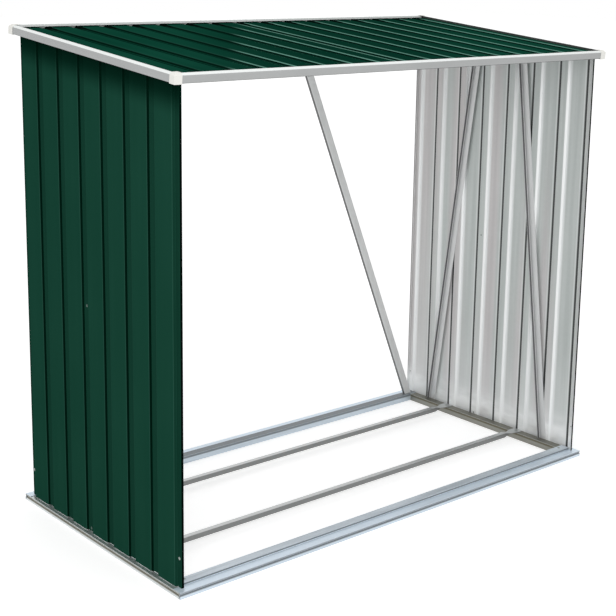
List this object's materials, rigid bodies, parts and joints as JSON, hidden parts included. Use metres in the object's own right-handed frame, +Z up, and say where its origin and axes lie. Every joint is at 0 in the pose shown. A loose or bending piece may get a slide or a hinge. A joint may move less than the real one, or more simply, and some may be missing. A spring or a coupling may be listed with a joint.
{
  "type": "log store",
  "caption": "Open-fronted metal log store with profiled side walls and sloping roof, a galvanised base frame with floor rails, and flat angle braces.",
  "frame": {"origin": "on the ground, at the middle of the overall box", "axes": "+X along the length to the right, -Y to the low open front, +Z up"},
  "size_m": [1.72, 0.866, 1.5],
  "materials": {
    "galvanised": "bare zinc, satin",
    "green_lacquer": "satin lacquer outside, bare zinc inside",
    "pale_trim": "satin",
    "white_cap": "matt"
  },
  "bodies": {
    "root": {"base_rail_front": "galvanised", "base_rail_back": "galvanised", "base_rail_left": "galvanised", "base_rail_right": "galvanised", "floor_rail_front": "galvanised", "floor_rail_back": "galvanised", "wall_brace_left_front": "galvanised", "wall_brace_left_back": "galvanised", "wall_brace_right_front": "galvanised", "wall_brace_right_back": "galvanised", "back_brace": "galvanised", "top_rail_front": "galvanised", "top_rail_back": "galvanised", "top_rail_left": "galvanised", "top_rail_right": "galvanised", "wall_left": "green_lacquer", "wall_right": "green_lacquer", "roof_sheet_left": "green_lacquer", "roof_sheet_right": "green_lacquer", "roof_trim_front": "pale_trim", "roof_trim_back": "pale_trim", "roof_trim_left": "pale_trim", "roof_trim_right": "pale_trim", "roof_cap_front_left": "white_cap", "roof_cap_front_right": "white_cap", "roof_cap_back_left": "white_cap", "roof_cap_back_right": "white_cap"}
  },
  "joints": []
}
